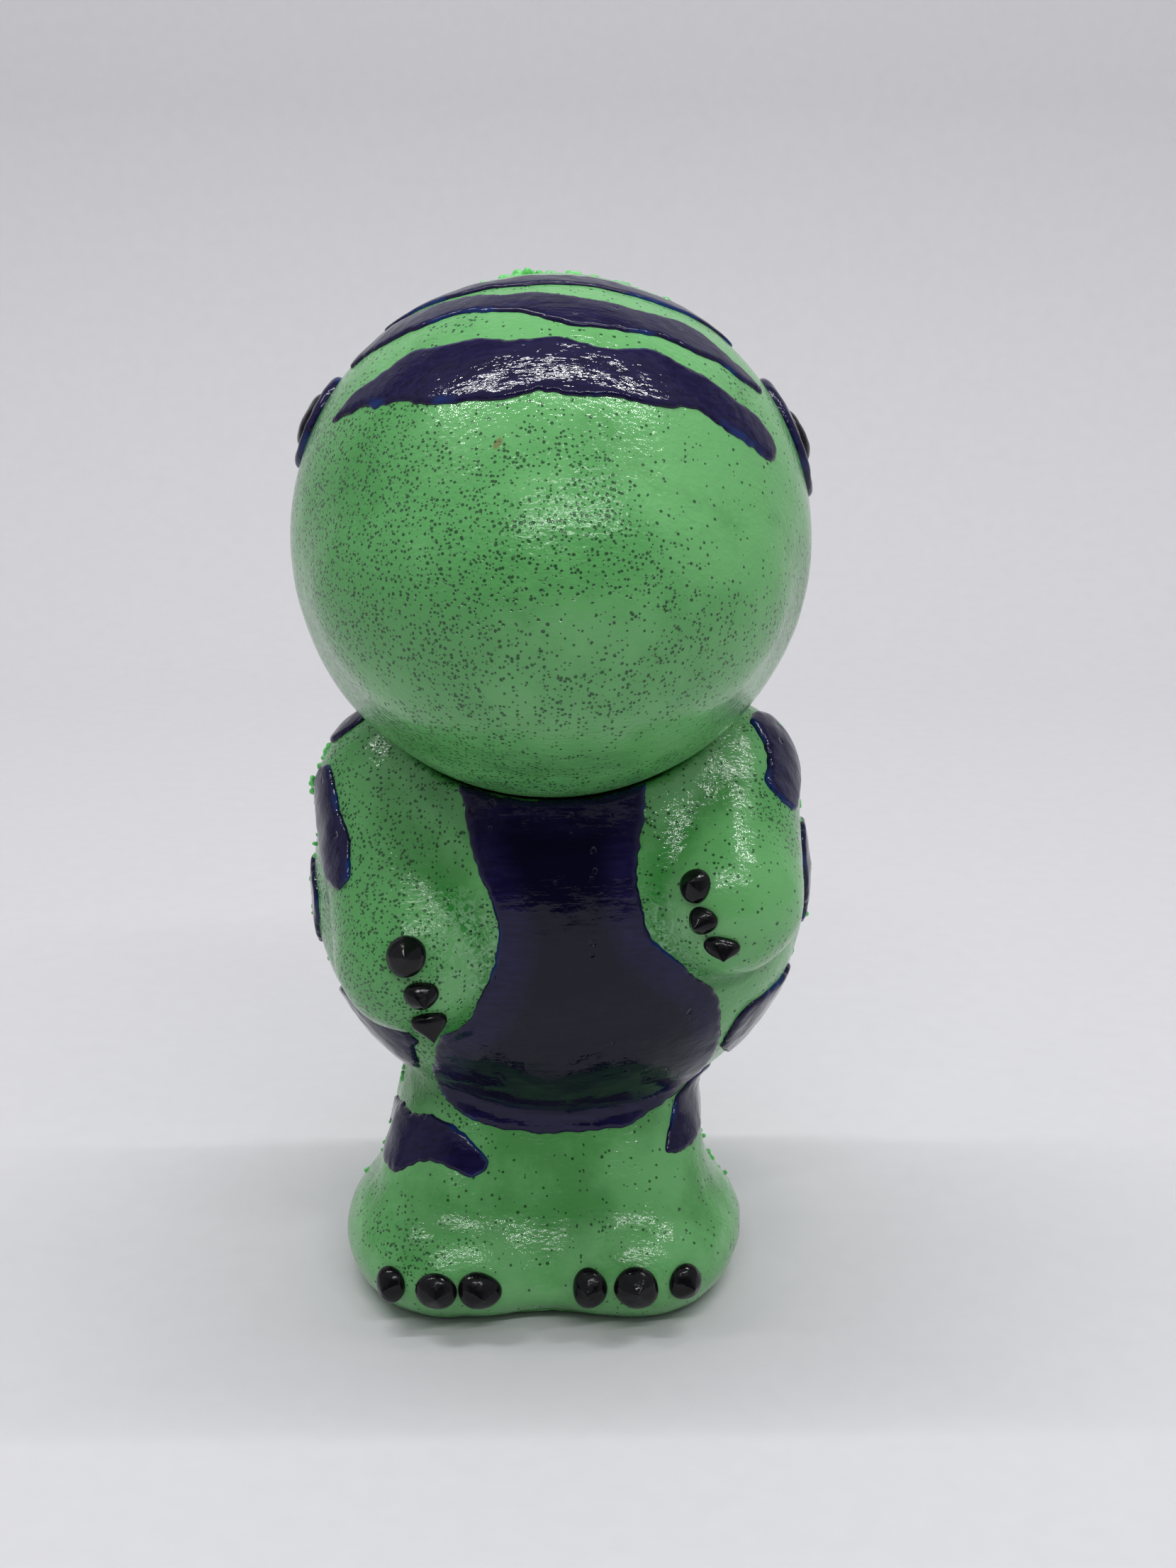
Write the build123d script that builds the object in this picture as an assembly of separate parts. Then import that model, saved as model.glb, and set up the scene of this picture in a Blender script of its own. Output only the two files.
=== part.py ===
from build123d import *

"""A painted vinyl toy dinosaur, about 104 mm tall, that stands on its feet and tail.

The figure looks along -Y, and left and right are the toy's own. The origin is on the
floor under the middle of the toy. Torso and head are hollow, and each is a front and a
back half that meet on one flat parting plane. The head turns on a flanged spool in the
neck. Claws are drops of thick gloss, eyes are two discs each, and the markings are
films of paint that stand proud of the skin.
"""

import os
from math import asin, cos, radians, sin, sqrt

# Driving dimensions, in millimetres and degrees
WALL = 2.4  # thickness of the moulded skin
PARTING_Y = -0.5  # the plane where the front and back halves meet
LAP_DEPTH = 1.4  # how far the front half's lip reaches into the back half
LAP_INSET = 1.2  # the lip is the inner half of the wall
LAP_GAP = 0.08  # glue gap around the lip

HEAD_CENTRE = Vector(0, -7, 78.8)
HEAD_RADIUS = 24.6
SNOUT_RADII = (22.4, 20.6, 17.6)
SNOUT_FORWARD = 7.6  # from the head's centre, square to the neck axis
SNOUT_UP = 1.0  # from the head's centre, along the neck axis

NECK_TILT = 15  # the neck axis leans forward by this much
NECK_GAP = 0.3  # between the ball of the head and the dish in the torso
POST_RADIUS = 7.6
POST_BORE = 5.0
POST_CLEARANCE = 0.08  # between the post and the hole in the head
FLANGE_RADIUS = 11.0
FLANGE_THICKNESS = 1.8
FLANGE_GAP = 0.2  # between the upper flange and the inside of the head

TORSO_CENTRE = (0.8, 1.2, 41.6)
TORSO_RADII = (25.4, 20.4, 25.2)
SHOULDER_RADIUS = 9.0
RIGHT_SHOULDER, LEFT_SHOULDER = (-14.7, -0.5, 51.8), (15.9, -0.5, 52.2)
RIGHT_HAND, RIGHT_HAND_RADIUS = (-13.4, -13.2, 39.1), 8.0
LEFT_HAND, LEFT_HAND_RADIUS = (16.8, -13.8, 44.8), 7.4
LEG_CENTRE_X = -1.2  # the feet stand this far to the right of the head
HIP_RADIUS, HIP_X, HIP_Y, HIP_Z = 9.4, 6.2, 1.5, 19
ANKLE_RADIUS, ANKLE_X, ANKLE_Z = 10.4, 6.9, 8
FOOT_RADII = (11.0, 15.2, 7.8)
FOOT_X, FOOT_Y, FOOT_Z = 9.7, -4.6, 5.2
# The front of each leg slopes out to the foot, and a third swell fills the valley between them
SHIN, SHIN_RADIUS = (5.2, -1.0, 17.5), 9.9
TOE, TOE_RADIUS = (8.8, -7.0, 7.2), 9.2
APRON, APRON_RADIUS = (0.0, -2.2, 17.0), 9.0
WEB, WEB_RADIUS = (0.0, -6.6, 7.6), 8.2
TAIL_ROOT, TAIL_ROOT_RADIUS = (0, 9, 20), 9.2
TAIL_TIP, TAIL_TIP_RADIUS = (0, 24.6, 5.4), 5.6

# Each claw is set off sideways and upwards from the middle of its hand or foot
CLAW_SINK = 0.6  # how deep the root of a claw reaches before the skin cuts it
CLAW_HEIGHT = 0.75  # of the claw's radius, without its peak
CLAW_PEAK = 0.35  # of the claw's radius
CLAWS = {  # (sideways, upwards, radius)
    "right_hand": {"top": (-0.5, 2.8, 1.85), "middle": (1.0, -1.1, 1.45), "bottom": (1.6, -4.4, 1.45)},
    "left_hand": {"top": (-3.4, 3.4, 1.5), "middle": (-2.9, 0.4, 1.3), "bottom": (-1.0, -2.2, 1.35)},
    "right_foot": {"outer": (-5.5, 0.0, 1.5), "middle": (-1.0, 0.3, 1.6), "inner": (3.3, 0.1, 1.75)},
    "left_foot": {"inner": (-4.8, -0.1, 1.6), "middle": (-0.5, 0.5, 1.8), "outer": (4.5, 0.3, 1.5)},
}

EYE_THICKNESS = 0.7
PUPIL_THICKNESS = 1.0  # on top of the eye
PUPIL_RADII = (2.2, 2.4)
RIGHT_EYE_AT, RIGHT_EYE_RADII = (-4.8, 89.4), (4.0, 4.2)  # (Y, Z), seen from the side
LEFT_EYE_AT, LEFT_EYE_RADII = (-5.4, 88.0), (4.7, 5.5)

FILM = 0.35  # thickness of a painted marking
# Stripes over the head, seen from above: (Y in the middle, width, half length, sag at the ends)
STRIPES = {
    "front": (-23.4, 5.0, 19.0, 5.6),
    "middle": (-16.2, 4.6, 17.6, 5.8),
    "crown": (-9.2, 3.4, 17.0, 3.0),
    "nape": (6.6, 3.6, 14.0, -2.4),
}
# The outline of the belly marking, seen from the front: its right edge down, its left edge up
BELLY = (
    (-8.6, 62), (-8.2, 54), (-6.6, 47), (-5.3, 42), (-7.0, 36.2), (-10.2, 32), (-11.9, 25.5),
    (-9.8, 21), (-4.6, 19), (2.6, 18.8), (9.4, 19.8), (14.6, 23), (16.4, 29), (15.6, 35.6),
    (11.6, 40.2), (8.4, 45), (8.0, 51), (8.8, 62),
)  # fmt: skip
# Markings on the flanks, seen from the side: (Y, Z) outlines
FLANKS = {
    "right": {
        "shoulder_spot": ((-1.4, 60.8), (-2.6, 58.4), (-0.4, 56.6), (3.2, 57.4), (2.4, 60.6)),
        "arm_spot": ((-3.8, 55.4), (-8.6, 52.2), (-13.2, 47.8), (-12.2, 45.4), (-6.8, 46.6), (-1.6, 51.6)),
        "flank_spot": ((-3.6, 41.5), (-2.2, 36.4), (3.4, 34.6), (7.4, 38.2), (4.8, 43), (0.4, 43.8)),
        "hip_spot": ((-12.0, 30.4), (-8.2, 24.6), (-1.6, 23.8), (1.6, 27.6), (-4.0, 31.6)),
        "back_spot": ((9.0, 50.8), (8.6, 45.2), (12.8, 43.4), (15.8, 47.6), (13.0, 51.8)),
    },
    "left": {
        "shoulder_spot": ((-3.6, 60), (-6.2, 57.6), (-9.6, 55.2), (-8.4, 52), (-3.0, 53.6), (1.4, 58.6)),
        "flank_spot": ((-3.4, 46.4), (-2.6, 41), (0.6, 36.6), (4.6, 39.2), (4.2, 45.4), (0.6, 48)),
        "hip_spot": ((-10.6, 31.2), (-8.4, 26.8), (-3.0, 24.4), (2.2, 27.6), (0.4, 32.4), (-5.4, 33)),
        "back_spot": ((8.6, 34.6), (11.4, 30.4), (15.4, 33.0), (15.2, 38.4), (10.8, 39.2)),
    },
}
# Markings on the shins, seen from the front: (X, Z) outlines
SHINS = {
    "right": ((-18.0, 13.2), (-16.8, 17.4), (-12.8, 19.4), (-8.8, 18.4), (-6.4, 16), (-8.4, 14.6), (-12.6, 15.8)),
    "left": ((11.6, 16), (12.4, 20), (15.4, 22.6), (18.0, 20.4), (16.2, 16.2)),
}
FAR = 80.0  # further than any part of the toy

NECK_AXIS = Vector(0, -sin(radians(NECK_TILT)), cos(radians(NECK_TILT)))
NECK_PLANE = Plane(origin=HEAD_CENTRE, x_dir=(1, 0, 0), z_dir=NECK_AXIS)
DISH_RADIUS = HEAD_RADIUS + NECK_GAP


# --- basic forms -------------------------------------------------------------------
def ellipsoid(centre, radii, inset=0.0):
    """A ball stretched to three radii, each made smaller by inset."""
    return Pos(*centre) * scale(Sphere(1), by=tuple(r - inset for r in radii))


def limb(start, start_radius, end, end_radius):
    """A round-ended taper from one ball to another, turned in one piece."""
    start, end = Vector(*start), Vector(*end)
    along = end - start
    lean = asin((start_radius - end_radius) / along.length)

    def on_ball(radius, height, angle):
        return radius * cos(angle), height + radius * sin(angle)

    bottom, top = radians(-90), radians(90)
    with BuildPart() as turned:
        with BuildSketch(Plane.XZ):
            with BuildLine():
                arc_low = ThreePointArc(
                    (0, -start_radius),
                    on_ball(start_radius, 0, (bottom + lean) / 2),
                    on_ball(start_radius, 0, lean),
                )
                arc_high = ThreePointArc(
                    on_ball(end_radius, along.length, lean),
                    on_ball(end_radius, along.length, (lean + top) / 2),
                    (0, along.length + end_radius),
                )
                Line(arc_low @ 1, arc_high @ 0)
                Line(arc_high @ 1, arc_low @ 0)
            make_face()
        revolve(axis=Axis.Z)
    return Plane(origin=start, z_dir=along) * turned.part


def slab(low, high):
    """Everything between two planes square to Y."""
    return Pos(0, (low + high) / 2, 0) * Box(2 * FAR, high - low, 4 * FAR)


def above(height):
    """Everything above a height."""
    return Pos(0, 0, height + FAR) * Box(2 * FAR, 2 * FAR, 2 * FAR)


def neck_cylinder(radius, low, high):
    """A cylinder on the neck axis, with its heights counted from the head's centre."""
    return NECK_PLANE * Pos(0, 0, (low + high) / 2) * Cylinder(radius, high - low)


def head_ball(radius):
    """A ball about the head's centre."""
    return Pos(*HEAD_CENTRE) * Sphere(radius)


# --- the two bodies, at any inset from the outer skin ------------------------------
def arm(side, inset=0.0):
    """One arm, from the shoulder to the mitten of the hand."""
    if side > 0:
        return limb(LEFT_SHOULDER, SHOULDER_RADIUS - inset, LEFT_HAND, LEFT_HAND_RADIUS - inset)
    return limb(RIGHT_SHOULDER, SHOULDER_RADIUS - inset, RIGHT_HAND, RIGHT_HAND_RADIUS - inset)


def foot_centre(side):
    return (LEG_CENTRE_X + side * FOOT_X, FOOT_Y, FOOT_Z)


def leg_swell(side, top, top_radius, bottom, bottom_radius):
    """The rounded front of a leg, with its X counted sideways from the middle of the legs."""
    start = (LEG_CENTRE_X / 2 + side * top[0], top[1], top[2])
    end = (LEG_CENTRE_X + side * bottom[0], bottom[1], bottom[2])
    return limb(start, top_radius, end, bottom_radius)


def torso_form(inset=0.0, dish_radius=DISH_RADIUS):
    """Belly, arms, legs, feet and tail as one solid, moved inwards by inset."""
    form = ellipsoid(TORSO_CENTRE, TORSO_RADII, inset)
    form += leg_swell(0, APRON, APRON_RADIUS - inset, WEB, WEB_RADIUS - inset)
    for side in (-1, 1):
        hip = (LEG_CENTRE_X / 2 + side * HIP_X, HIP_Y, HIP_Z)
        ankle = (LEG_CENTRE_X + side * ANKLE_X, HIP_Y, ANKLE_Z)
        form += limb(hip, HIP_RADIUS - inset, ankle, ANKLE_RADIUS - inset)
        form += leg_swell(side, SHIN, SHIN_RADIUS - inset, TOE, TOE_RADIUS - inset)
        form += ellipsoid(foot_centre(side), FOOT_RADII, inset)
        form += arm(side, inset)
    form += limb(TAIL_ROOT, TAIL_ROOT_RADIUS - inset, TAIL_TIP, TAIL_TIP_RADIUS - inset)
    return (form - head_ball(dish_radius + inset)) & above(inset)


def head_form(inset=0.0):
    """The ball of the head with the snout that swells out of its front."""
    snout = ellipsoid((0, 0, 0), SNOUT_RADII, inset)
    return head_ball(HEAD_RADIUS - inset) + NECK_PLANE * Pos(0, -SNOUT_FORWARD, SNOUT_UP) * snout


# --- the pieces --------------------------------------------------------------------
def halves(form, hole):
    """The front and back shells of a hollow form, with a lap joint between them."""
    wall = form(0) - form(WALL) - hole
    lip = (form(LAP_INSET) - form(WALL) - hole) & slab(PARTING_Y, PARTING_Y + LAP_DEPTH)
    seat = form(LAP_INSET - LAP_GAP) & slab(PARTING_Y, PARTING_Y + LAP_DEPTH + LAP_GAP)
    front = (wall & slab(-FAR, PARTING_Y)) + lip
    back = (wall & slab(PARTING_Y, FAR)) - seat
    return front, back


def neck_swivel():
    """A tube with two flanges: the lower is glued in the torso, the head turns on the upper."""
    under_dish = DISH_RADIUS + WALL
    low = -under_dish - FLANGE_THICKNESS / 2
    inside_head = HEAD_RADIUS - WALL - FLANGE_GAP
    upper_rim = -sqrt(inside_head**2 - FLANGE_RADIUS**2)
    lower_flange = neck_cylinder(FLANGE_RADIUS, low, low + FAR / 2) & (
        head_ball(under_dish + FLANGE_THICKNESS) - head_ball(under_dish)
    )
    upper_flange = neck_cylinder(FLANGE_RADIUS, -HEAD_RADIUS, upper_rim + FLANGE_THICKNESS)
    upper_flange &= head_ball(inside_head)
    below_centre = neck_cylinder(FAR, -FAR, 0)
    post = neck_cylinder(POST_RADIUS, low, upper_rim + FLANGE_THICKNESS)
    bore = neck_cylinder(POST_BORE, -FAR, FAR)
    return post + (lower_flange & below_centre) + upper_flange - bore


def on_front(centre, radii, sideways, upwards):
    """A plane that lies on the front of an ellipsoid, off its middle by these two distances."""
    rest = 1 - (sideways / radii[0]) ** 2 - (upwards / radii[2]) ** 2
    offset = Vector(sideways, -radii[1] * sqrt(rest), upwards)
    normal = Vector(*(o / r**2 for o, r in zip(offset, radii, strict=True)))
    return Plane(origin=Vector(*centre) + offset, z_dir=normal)


def claw(place, radius):
    """A drop of thick gloss that was pulled to a small peak as it was set down."""
    height = CLAW_HEIGHT * radius
    with BuildPart() as drop:
        with BuildSketch(Plane.XZ):
            with BuildLine():
                root = Line((0, -CLAW_SINK), (radius * 0.92, -CLAW_SINK))
                side = Spline(
                    root @ 1,
                    (radius, height * 0.25),
                    (radius * 0.72, height * 0.78),
                    (radius * 0.3, height * 1.08),
                    (0, height + CLAW_PEAK * radius),
                )
                Line(side @ 1, root @ 0)
            make_face()
        revolve(axis=Axis.Z)
    return place * drop.part


def eye(side, at, radii, low, high):
    """A disc on the side of the head, between two heights above the skin."""
    column = Pos(side * FAR / 2, at[0], at[1]) * Rot(0, 90, 0)
    column *= extrude(Ellipse(radii[1], radii[0]), FAR / 2, both=True)
    ring = head_form(-high) - head_form(-low)
    return (ring & column).solids()[0]


def prism(plane, outline, start, end):
    """A closed smooth outline on a plane, extended from one distance to another."""
    with BuildPart() as solid:
        with BuildSketch(plane.offset(start)):
            with BuildLine():
                Spline(*outline, periodic=True)
            make_face()
        extrude(amount=end - start)
    return solid.part


def stripe(middle_y, width, half_length, sag):
    """A band across the top of the head that curves back and thins towards its ends."""
    front = middle_y - width / 2
    back = middle_y + width / 2
    with BuildPart() as solid:
        with BuildSketch(Plane.XY.offset(HEAD_CENTRE.Z)):
            with BuildLine():
                near = Spline(
                    (-half_length, middle_y + sag), (-half_length / 2, front + sag / 4), (0, front),
                    (half_length / 2, front + sag / 4), (half_length, middle_y + sag),
                )  # fmt: skip
                Spline(
                    near @ 1, (half_length / 2, back + sag / 4), (0, back),
                    (-half_length / 2, back + sag / 4), near @ 0,
                )  # fmt: skip
            make_face()
        extrude(amount=FAR)
    return solid.part


def main():
    os.makedirs("parts", exist_ok=True)
    pieces = {}

    post = neck_cylinder(POST_RADIUS, -FAR, 0)
    head_hole = neck_cylinder(POST_RADIUS + POST_CLEARANCE, -FAR, 0)
    pieces["torso_front_shell"], pieces["torso_back_shell"] = halves(torso_form, post)
    pieces["head_front_shell"], pieces["head_back_shell"] = halves(head_form, head_hole)
    pieces["neck_swivel"] = neck_swivel()

    skin = torso_form()
    limb_ends = {
        "right_hand": (RIGHT_HAND, (RIGHT_HAND_RADIUS,) * 3),
        "left_hand": (LEFT_HAND, (LEFT_HAND_RADIUS,) * 3),
        "right_foot": (foot_centre(-1), FOOT_RADII),
        "left_foot": (foot_centre(1), FOOT_RADII),
    }
    for limb_name, claws in CLAWS.items():
        for name, (sideways, upwards, radius) in claws.items():
            place = on_front(*limb_ends[limb_name], sideways, upwards)
            pieces[f"{limb_name}_claw_{name}"] = claw(place, radius) - skin

    eyes = {"right": (-1, RIGHT_EYE_AT, RIGHT_EYE_RADII), "left": (1, LEFT_EYE_AT, LEFT_EYE_RADII)}
    for name, (side, at, radii) in eyes.items():
        pieces[f"{name}_eye"] = eye(side, at, radii, 0, EYE_THICKNESS)
        top = EYE_THICKNESS + PUPIL_THICKNESS
        pieces[f"{name}_pupil"] = eye(side, at, PUPIL_RADII, EYE_THICKNESS, top)

    head_film = head_form(-FILM) - head_form()
    for name, shape in STRIPES.items():
        pieces[f"head_stripe_{name}"] = head_film & stripe(*shape)

    torso_film = torso_form(-FILM, DISH_RADIUS + FILM) - skin
    arms = arm(-1, -FILM) + arm(1, -FILM)
    pieces["belly_patch"] = (torso_film & prism(Plane.XZ, BELLY, 0, FAR)) - arms
    for side, (side_name, spots) in zip((-1, 1), FLANKS.items(), strict=True):
        for name, outline in spots.items():
            start, end = (8, FAR) if side > 0 else (-FAR, -8)
            pieces[f"{side_name}_{name}"] = torso_film & prism(Plane.YZ, outline, start, end)
    for side_name, outline in SHINS.items():
        pieces[f"{side_name}_shin_patch"] = torso_film & prism(Plane.XZ, outline, 0, FAR)

    for name, piece in pieces.items():
        solids = piece.solids()
        print(f"{name}: {len(solids)} solid(s), {piece.volume:.1f} mm3, valid {piece.is_valid}")
        export_step(piece, f"parts/{name}.step")
    lowest, highest = skin.bounding_box().min, head_form().bounding_box().max
    print(f"stands {highest.Z - lowest.Z:.1f} mm tall")


main()
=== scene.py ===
# %% [markdown]
# # A painted vinyl toy dinosaur
# The toy is a hollow figure of two bodies. A big smooth head turns on a spool in the neck of a
# torso that has its arms, legs and feet moulded in one piece with it. The skin is green and
# full of pinholes. The stripes, the spots and the belly are navy paint that was laid on so
# thickly that it stands proud, and the claws are drops of black gloss pulled to a peak.
#
# The measured model gives every place and size. What follows gives each of its pieces the
# shape that a mould and a hand really leave: rounded creases, a rough parting line, paint with
# ragged edges, and drops that are all a little different.

# %% Load the measured model
import math

import bmesh
import bpy
import numpy as np
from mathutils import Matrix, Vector
from mathutils.bvhtree import BVHTree


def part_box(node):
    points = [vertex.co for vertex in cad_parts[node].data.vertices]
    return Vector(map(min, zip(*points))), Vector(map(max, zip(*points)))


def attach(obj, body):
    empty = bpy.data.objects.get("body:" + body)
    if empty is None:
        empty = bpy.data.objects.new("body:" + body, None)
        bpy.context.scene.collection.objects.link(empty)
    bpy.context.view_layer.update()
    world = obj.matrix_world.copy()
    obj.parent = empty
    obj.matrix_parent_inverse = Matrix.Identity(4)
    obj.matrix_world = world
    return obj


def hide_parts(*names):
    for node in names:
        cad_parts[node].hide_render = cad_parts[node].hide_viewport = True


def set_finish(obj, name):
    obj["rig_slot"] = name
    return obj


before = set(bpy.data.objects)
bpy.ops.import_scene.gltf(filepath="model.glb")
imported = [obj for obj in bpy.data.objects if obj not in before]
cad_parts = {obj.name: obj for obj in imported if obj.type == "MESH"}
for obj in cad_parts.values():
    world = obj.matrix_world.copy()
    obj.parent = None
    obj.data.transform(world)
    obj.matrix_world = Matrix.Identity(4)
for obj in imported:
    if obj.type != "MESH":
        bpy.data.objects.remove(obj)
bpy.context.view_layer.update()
MM = 0.001

# %% [markdown]
# ## Points, waves and outlines
# Everything organic on the toy is made by moving many points a little, so the helpers work on
# whole arrays of points in millimetres. `waves` is a smooth random field: a few dozen sine
# waves in random directions. It costs almost nothing, it has no grid in it, and the same seed
# always gives the same shape, which a real noise texture in a modifier would also do, but only
# for one mesh at a time.


# %% Waves
def waves(points, wavelength, seed, count=28):
    """A smooth random value for each point, about -1 to 1, that changes over one wavelength."""
    rng = np.random.default_rng(seed)
    directions = rng.normal(size=(count, 3))
    directions /= np.linalg.norm(directions, axis=1)[:, None]
    speeds = 2 * math.pi / wavelength * rng.uniform(0.6, 1.3, count)
    phases = rng.uniform(0, 2 * math.pi, count)
    total = np.zeros(len(points))
    for direction, speed, phase in zip(directions, speeds, phases):
        total += np.cos(points @ direction * speed + phase)
    return total * math.sqrt(0.5 / count)


def window(values, low, high, soft):
    """1 between two values, and down to 0 over a soft border outside them."""
    inner = np.minimum(values - low, high - values)
    return np.clip(inner / soft + 1, 0, 1)


# %% Outlines
def smooth_outline(corners, steps=10):
    """A closed smooth curve through the corners, as a Catmull-Rom spline."""
    p = np.array(corners, float)
    before, after, later = np.roll(p, 1, 0), np.roll(p, -1, 0), np.roll(p, -2, 0)
    curve = []
    for t in np.linspace(0, 1, steps, endpoint=False):
        bend = 2 * before - 5 * p + 4 * after - later
        twist = 3 * p - before - 3 * after + later
        curve.append(0.5 * (2 * p + (after - before) * t + bend * t**2 + twist * t**3))
    return np.stack(curve, 1).reshape(-1, 2)


def depth_inside(points, outline):
    """How far each 2-D point is inside a closed outline. Outside it is negative."""
    start, end = outline, np.roll(outline, -1, 0)
    nearest = np.full(len(points), 1e9)
    inside = np.zeros(len(points), bool)
    for a, b in zip(start, end):
        along = b - a
        t = np.clip((points - a) @ along / (along @ along), 0, 1)
        nearest = np.minimum(nearest, np.linalg.norm(points - a - t[:, None] * along, axis=1))
        crosses = (a[1] > points[:, 1]) != (b[1] > points[:, 1])
        if along[1] != 0:
            x = a[0] + (points[:, 1] - a[1]) * along[0] / along[1]
            inside ^= crosses & (points[:, 0] < x)
    return np.where(inside, nearest, -nearest)


# %% Meshes from arrays, and back
def new_piece(name, points, faces):
    """A smooth-shaded mesh object from points in millimetres."""
    mesh = bpy.data.meshes.new(name)
    mesh.from_pydata((np.asarray(points) * MM).tolist(), [], faces)
    mesh.validate()
    mesh.polygons.foreach_set("use_smooth", [True] * len(mesh.polygons))
    piece = bpy.data.objects.new(name, mesh)
    bpy.context.scene.collection.objects.link(piece)
    return piece


def arrays(mesh):
    """The points of a mesh in millimetres, and its triangles."""
    mesh.calc_loop_triangles()
    points = np.empty(len(mesh.vertices) * 3)
    mesh.vertices.foreach_get("co", points)
    triangles = np.empty(len(mesh.loop_triangles) * 3, np.int32)
    mesh.loop_triangles.foreach_get("vertices", triangles)
    return points.reshape(-1, 3) / MM, triangles.reshape(-1, 3)


def point_normals(points, triangles):
    a, b, c = (points[triangles[:, i]] for i in range(3))
    face = np.cross(b - a, c - a)
    normal = np.zeros_like(points)
    for i in range(3):
        for axis in range(3):
            normal[:, axis] += np.bincount(triangles[:, i], face[:, axis], len(points))
    return normal / np.maximum(np.linalg.norm(normal, axis=1), 1e-12)[:, None]


def apply_modifiers(piece):
    """Writes the modifiers' result to the piece's own mesh."""
    graph = bpy.context.evaluated_depsgraph_get()
    mesh = bpy.data.meshes.new_from_object(piece.evaluated_get(graph))
    piece.modifiers.clear()
    piece.data = mesh
    mesh.polygons.foreach_set("use_smooth", [True] * len(mesh.polygons))
    return piece


def voxel_remesh(piece, voxel):
    """Fuses whatever the piece's mesh holds in one even closed skin."""
    remesh = piece.modifiers.new("fuse", "REMESH")
    remesh.mode = "VOXEL"
    remesh.voxel_size = voxel * MM
    remesh.adaptivity = 0
    return apply_modifiers(piece)


# %% [markdown]
# ## The moulded skin
# A rotocast or foamed figure has no sharp inside corners: where an arm grows out of the belly
# the mould has a soft fillet. The measured shells meet in hard creases there. Modelling the
# fillets by hand on so many crossings would be slow, so the two halves are fused in one even
# net of small quads, and then a one-sided smoothing fills the creases. It only ever adds
# material where a point lies lower than its neighbours, so hands and toes keep their size.
#
# A wide shallow hollow would take thousands of such steps. On the face and between the feet the
# skin is moved out toward its convex hull instead. A hull is straight where it bridges a hollow,
# and a straight stretch smears a highlight, so the brow is swollen a little afterwards.


# %% Fill the creases
def edge_pairs(mesh):
    pairs = np.empty(len(mesh.edges) * 2, np.int32)
    mesh.edges.foreach_get("vertices", pairs)
    return pairs.reshape(-1, 2)


def pull_to_neighbours(points, pairs):
    """The step from each point to the middle of its neighbours."""
    both = np.concatenate([pairs, pairs[:, ::-1]])
    count = np.bincount(both[:, 0], minlength=len(points))
    columns = [np.bincount(both[:, 0], column[both[:, 1]], len(points)) for column in points.T]
    middle = np.stack(columns, 1)
    return middle / np.maximum(count, 1)[:, None] - points


def soften(points, triangles, pairs, even_steps, fill_steps, share=None):
    """Evens out a net, then fills its creases without wearing down what stands out."""
    for _ in range(even_steps):
        points = points + 0.5 * pull_to_neighbours(points, pairs)
        points = points - 0.52 * pull_to_neighbours(points, pairs)
    for step in range(fill_steps):
        if step % 10 == 0:
            normals = point_normals(points, triangles)
        pull = pull_to_neighbours(points, pairs)
        rise = (pull * normals).sum(1)
        slide = pull - rise[:, None] * normals
        growth = 0.55 * np.maximum(rise, 0) * (1 if share is None else share)
        points = points + 0.3 * slide + growth[:, None] * normals
    return points


SKIN_VOXEL = 0.45  # mm
FILL_STEPS, QUICK_FILL_STEPS = 48, 12
MORE_FILL_STEPS = 90  # where the creases are shallowest
ARMS_FROM, LEGS_TO, CREASE_FADE = 49, 19, 4  # mm of height, where more steps are spent
FACE_FROM = 62  # mm of height, above which the face is filled out
HULL_REACH = 6.0  # mm, the deepest hollow that is filled out to the hull
BROW = np.array([0, -29.0, 86.5])
BROW_SWELL, BROW_SPREAD = 0.9, 7.0  # mm
FOOT_WEB = 0.75  # how much of the notch between the feet is filled
WEB_TOP, WEB_FADE = 3, 8  # mm of height
WEB_HALF_WIDTH = 8  # mm
HOLLOW_SPREAD = 60  # steps that spread the measure of hollowness over about 3 mm
HOLLOW_FULL = 0.004  # mm of pull in a valley that gets the darkest painted shade
HEAD_CENTRE = np.array([0, -7, 78.8])
HEAD_RADIUS = 24.6
NECK_TILT = math.radians(15)
NECK_AXIS = np.array([0, -math.sin(NECK_TILT), math.cos(NECK_TILT)])
NECK_CLEARANCE = 0.2  # mm from the ball of the head to the dish in the torso
BALL_BELOW = -14.0  # mm from the head's centre along the neck, where only the ball is outermost


def keep_neck_free(points, is_head):
    """Keeps the wavering skins apart where the head turns in its dish."""
    offset = points - HEAD_CENTRE
    reach = np.linalg.norm(offset, axis=1)
    if is_head:
        limit = np.where(offset @ NECK_AXIS < BALL_BELOW, np.minimum(reach, HEAD_RADIUS), reach)
    else:
        limit = np.maximum(reach, HEAD_RADIUS + NECK_CLEARANCE)
    return HEAD_CENTRE + offset * (limit / reach)[:, None]


def fill_to_hull(points, triangles, inside, toward, share):
    """Moves the outside of a net toward its convex hull, so that two swellings run on as one.

    inside picks the points that make the hull, toward is the way each point moves, and share is
    how much of the gap is filled. Points under the outside, such as an inner wall, stay.
    """
    bm = bmesh.new()
    for point in points[inside]:
        bm.verts.new(point)
    bmesh.ops.convex_hull(bm, input=bm.verts)
    hull = BVHTree.FromBMesh(bm)
    skin = BVHTree.FromPolygons(points.tolist(), triangles.tolist())
    moved = points.copy()
    for i in np.nonzero(inside & (share > 0))[0]:
        way = Vector(toward[i])
        start = Vector(points[i])
        gap = hull.ray_cast(start - 0.01 * way, way, HULL_REACH)[3]
        if gap is None or skin.ray_cast(start + 0.1 * way, way, gap)[0] is not None:
            continue
        moved[i] = points[i] + share[i] * gap * toward[i]
    bm.free()
    return moved


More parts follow.
